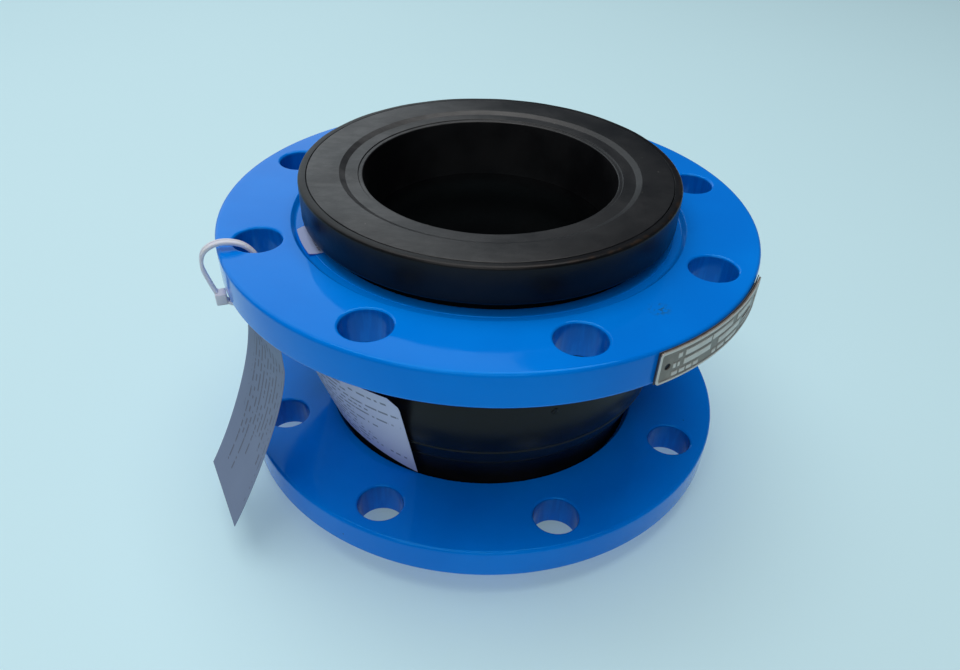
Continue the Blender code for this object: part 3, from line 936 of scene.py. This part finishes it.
def sheet_mesh(name, front, back, turned=False):
    """A closed thin sheet from two grids of points. UV runs 0 to 1 down the rows, or across them if turned."""
    rows, columns = len(front), len(front[0])
    points = [point for grid in (front, back) for row in grid for point in row]
    half = rows * columns
    faces = []
    for row in range(rows - 1):
        for column in range(columns - 1):
            corner = row * columns + column
            quad = (corner, corner + 1, corner + columns + 1, corner + columns)
            faces += [quad, tuple(half + index for index in quad)]
    border = [(0, column) for column in range(columns)]
    border += [(row, columns - 1) for row in range(1, rows)]
    border += [(rows - 1, column) for column in range(columns - 2, -1, -1)]
    border += [(row, 0) for row in range(rows - 2, 0, -1)]
    ring = [row * columns + column for row, column in border]
    faces += [(a, b, half + b, half + a) for a, b in zip(ring, ring[1:] + ring[:1])]
    mesh = mesh_from(name, points, faces)
    layer = mesh.uv_layers.new(name="UVMap")
    for loop in mesh.loops:
        row, column = divmod(loop.vertex_index % half, columns)
        down, across = row / (rows - 1), column / (columns - 1)
        layer.data[loop.index].uv = (across, down) if turned else (down, across)
    return mesh


def two_faces(rows):
    """Two grids PAPER_T apart from rows of (point, outward direction)."""
    return [[[point + out * PAPER_T / 2 * way for point, out in row] for row in rows] for way in (-1, 1)]


def make_outer_leaflet(paper):
    """Hangs by a punched corner from the tie, outside the lower flange, and curls outwards at its foot."""
    outward = polar(1, OUTER_LEAF_FACING)
    sideways = polar(1, OUTER_LEAF_FACING + 90)
    count, columns = 72, 24
    first, last = OUTER_LEAF_SIDES
    top = OUTER_LEAF_TOP[1] + OUTER_LEAF_RISE
    grid = []
    for row in range(count + 1):
        height = top + (OUTER_LEAF_FOOT[1] - top) * row / count
        share = max(0, (OUTER_LEAF_TOP[1] - height) / (OUTER_LEAF_TOP[1] - OUTER_LEAF_FOOT[1]))
        reach = OUTER_LEAF_TOP[0] + (OUTER_LEAF_FOOT[0] - OUTER_LEAF_TOP[0]) * share**OUTER_LEAF_CURL
        left = first - OUTER_LEAF_EAR * smooth(height, OUTER_LEAF_TOP[1] - 4 * MM, OUTER_LEAF_TOP[1])
        line = []
        for column in range(columns + 1):
            across = column / columns
            side = left + (last - left) * across
            wave = 0.5 * MM * math.sin(math.pi * share) * math.sin(2 * math.pi * across + 3 * share)
            under = OUTER_LEAF_UNDER * across * (1 - share) ** 2
            line.append((outward * (reach + wave - under) + sideways * side + Vector((0, 0, height)), outward))
        grid.append(line)
    mesh = sheet_mesh("leaflet_outer_sheet", *two_faces(grid))
    leaf = add_piece("leaflet_outer_sheet", mesh, paper)
    side, height = OUTER_LEAF_HOLE
    centre = outward * OUTER_LEAF_TOP[0] + sideways * side + Vector((0, 0, height))
    facing = outward.to_track_quat("Z", "Y").to_matrix().to_4x4()
    size = OUTER_LEAF_HOLE_R
    shape = bmesh.new()
    bmesh.ops.create_cone(
        shape,
        cap_ends=True,
        segments=32,
        radius1=size,
        radius2=size,
        depth=4 * size,
        matrix=Matrix.Translation(centre) @ facing,
    )
    cut(leaf, mesh_of("punch", shape))
    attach(leaf, "leaflet_outer")
    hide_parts("leaflet_outer")


def make_inner_leaflet(paper):
    """Stands on the lower flange on its two corners and leans on the arch between them."""
    count, columns = 24, 60
    first, last = INNER_LEAF_SPAN
    grid = []
    for row in range(count + 1):
        share = row / count
        level = INNER_LEAF_TOP[1] + (INNER_LEAF_FOOT[1] - INNER_LEAF_TOP[1]) * share
        corner_height, corner_angle = INNER_LEAF_CORNER
        clipped = max(0, (level - corner_height) / (INNER_LEAF_TOP[1] - corner_height))
        stop = last - corner_angle * clipped
        line = []
        for column in range(columns + 1):
            across = column / columns
            out = polar(1, first + (stop - first) * across)
            between = math.sin(math.pi * across) * share**2
            height = level + INNER_LEAF_LIFT * between
            lean = INNER_LEAF_LEAN * between
            place = (height - INNER_LEAF_FOOT[1]) / (INNER_LEAF_TOP[1] - INNER_LEAF_FOOT[1])
            reach = INNER_LEAF_FOOT[0] + (INNER_LEAF_TOP[0] - INNER_LEAF_FOOT[0]) * place - lean
            reach = max(reach, arch_radius(height, 1) + 0.35 * MM)
            line.append((out * reach + Vector((0, 0, height)), out))
        grid.append(line)
    mesh = sheet_mesh("leaflet_inner_sheet", *two_faces(grid), turned=True)
    leaf = add_piece("leaflet_inner_sheet", mesh, paper)
    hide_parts("leaflet_inner")
    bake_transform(leaf)


def make_paper_scrap(paper):
    """A corner of paper pushed up beside the neck and folded over onto the upper flange's seat."""
    floor = UPPER_FLANGE_TOP - UPPER_SEAT_DEPTH
    section = (
        (66.62 * MM, floor - 5.2 * MM),
        (66.62 * MM, floor - 2 * MM),
        (66.75 * MM, floor - 0.6 * MM),
        (67.6 * MM, floor + 0.4 * MM),
        (70 * MM, floor + 0.4 * MM),
        (72.2 * MM, floor + 0.5 * MM),
        (73.8 * MM, floor + 0.8 * MM),
        (75 * MM, floor + 1.2 * MM),
    )
    first, last = SCRAP_SPAN
    columns = 24
    grid = []
    for row, (reach, height) in enumerate(section):
        folded = max(row - 3, 0) / 4
        line = []
        for column in range(columns + 1):
            start = first + SCRAP_SLANT * folded
            angle = start + (last - start) * column / columns
            line.append((polar(reach, angle, height), Vector((0, 0, 1)) if row > 3 else polar(1, angle)))
        grid.append(line)
    mesh = sheet_mesh("paper_scrap", *two_faces(grid), turned=True)
    scrap = add_piece("paper_scrap", mesh, paper)
    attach(scrap, "upper_flange")


def make_scar(rubber):
    """The rough spot on the arch, a low lump with its edge sunk into the rubber."""
    rows, columns = 14, 18
    half_wide, half_high = 2.7 * MM, 1.9 * MM
    grids = []
    for depth in (0, 0.8 * MM):
        grid = []
        for row in range(rows + 1):
            up = half_high * (2 * row / rows - 1)
            line = []
            for column in range(columns + 1):
                along = half_wide * (2 * column / columns - 1)
                fall = smooth(math.hypot(along / half_wide, up / half_high), 1, 0.45)
                lump = 0.35 + noise.noise(Vector((along, up, 0)) / (0.9 * MM))
                lift = (0.75 * MM * lump * fall - 0.15 * MM) if not depth else -depth
                height = SCAR_HEIGHT + up
                angle = SCAR_ANGLE + math.degrees(along / ARCH_CREST_R)
                line.append(polar(arch_radius(height, 1) + lift, angle, height))
            grid.append(line)
        grids.append(grid)
    scar = add_piece("arch_scar", sheet_mesh("arch_scar", *grids), rubber, 60)
    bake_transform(scar)


# ---- camera, light and floor


def add_camera():
    """A 30 mm lens from the front, 43 degrees down, turned a little, as the object is seen."""
    data = bpy.data.cameras.new("camera")
    data.sensor_width = 36
    data.lens = 29.8
    data.shift_y = 0.109
    data.clip_start = 0.01
    camera = bpy.data.objects.new("camera", data)
    bpy.context.scene.collection.objects.link(camera)
    tilt = Matrix.Rotation(math.radians(90 - 43), 4, "X")
    roll = Matrix.Rotation(math.radians(2.32), 4, "Z")
    camera.matrix_world = Matrix.Translation((0, -0.2916, 0.2564)) @ tilt @ roll
    bpy.context.scene.camera = camera


def add_softbox(name, place, target, size, power, colour):
    data = bpy.data.lights.new(name, "AREA")
    data.shape = "RECTANGLE"
    data.size, data.size_y = size
    data.energy = power
    data.color = colour
    light = bpy.data.objects.new(name, data)
    bpy.context.scene.collection.objects.link(light)
    light.location = place
    light.rotation_euler = (Vector(target) - Vector(place)).to_track_quat("-Z", "Y").to_euler()


def add_surroundings():
    middle = (0, 0, LENGTH / 2)
    add_softbox("overhead", (-0.1, 0.15, 1.5), middle, (1.5, 1.3), 16, (1.0, 0.99, 0.98))
    add_softbox("window_left", (-0.93, 1.15, 0.95), middle, (2.2, 1.5), 9, (0.86, 0.95, 1.0))
    add_softbox("front", (-0.2, -1.2, 1.15), middle, (1.3, 0.8), 6.5, (1.0, 0.99, 0.97))
    world = bpy.data.worlds.new("studio")
    world.use_nodes = True
    world.node_tree.nodes["Background"].inputs["Color"].default_value = (0.6, 0.8, 1.0, 1)
    world.node_tree.nodes["Background"].inputs["Strength"].default_value = 0.06
    bpy.context.scene.world = world
    half = 3.0
    corners = [(-half, -half, 0), (half, -half, 0), (half, half, 0), (-half, half, 0)]
    floor = bpy.data.objects.new("floor", mesh_from("floor", corners, [(0, 1, 2, 3)]))
    floor.data.materials.append(floor_finish())
    bpy.context.scene.collection.objects.link(floor)
    bpy.context.scene.view_settings.view_transform = "Standard"


# ---- the object


def finish_hidden_nodes(cord):
    """Better finishes for the frame's own nodes that stay as they are."""
    steel = plain_finish("bead_steel", (0.45, 0.45, 0.46), 0.35, 1.0)
    filler = plain_finish("bead_filler_rubber", (0.03, 0.03, 0.03), 0.6)
    # Dark grey foam tape, kept dark so its edge under the plate reads as a painted shadow line.
    pad = plain_finish("pad_adhesive", (0.05, 0.06, 0.08), 0.7)
    finishes = {"nameplate_pad": pad}
    for side in ("lower", "upper"):
        finishes[side + "_bead_wire"] = steel
        finishes[side + "_bead_filler"] = filler
        finishes[side + "_cord_wrap"] = cord
    for node, finish in finishes.items():
        for slot in frame["nodes"][node].material_slots:
            slot.material = finish


def main():
    paint = paint_finish()
    shaded_hole_paint = hole_paint_finish()
    face_rubber = rubber_finish("rubber_face", 0.38, 0.3, 0.42)
    side_rubber = rubber_finish("rubber_side", 0.34, 0.04, 0.22)
    bore_rubber = rubber_finish("rubber_bore", 0.5, 0.0, 0.08)
    cord = cord_finish()
    make_flange("lower_flange", LOWER_FLANGE_LOW, LOWER_SEAT_DEPTH, False, paint, shaded_hole_paint)
    make_flange("upper_flange", UPPER_FLANGE_LOW, UPPER_SEAT_DEPTH, True, paint, shaded_hole_paint)
    make_end("lower", False, face_rubber, side_rubber)
    make_end("upper", True, face_rubber, side_rubber)
    make_arch(side_rubber, bore_rubber, cord)
    make_scar(side_rubber)
    make_nameplate(plate_finish())
    make_cable_tie(nylon_finish())
    # The outer leaflet's paper is darker and bluer than the inner one's: painted shade and painted blue light
    # thrown back from the flanges.
    make_outer_leaflet(paper_finish("leaflet_outer_paper_shaded", (0.17, 0.21, 0.33), 13, (0.12, 0.88, 0.2, 0.96)))
    make_inner_leaflet(paper_finish("leaflet_inner_paper", (0.62, 0.62, 0.78), 15, (0.03, 0.98, 0.04, 0.94)))
    make_paper_scrap(paper_finish("scrap_paper", (0.42, 0.5, 0.8), 6, (0.05, 0.95, 0.1, 0.7)))
    finish_hidden_nodes(cord)
    add_camera()
    add_surroundings()


main()
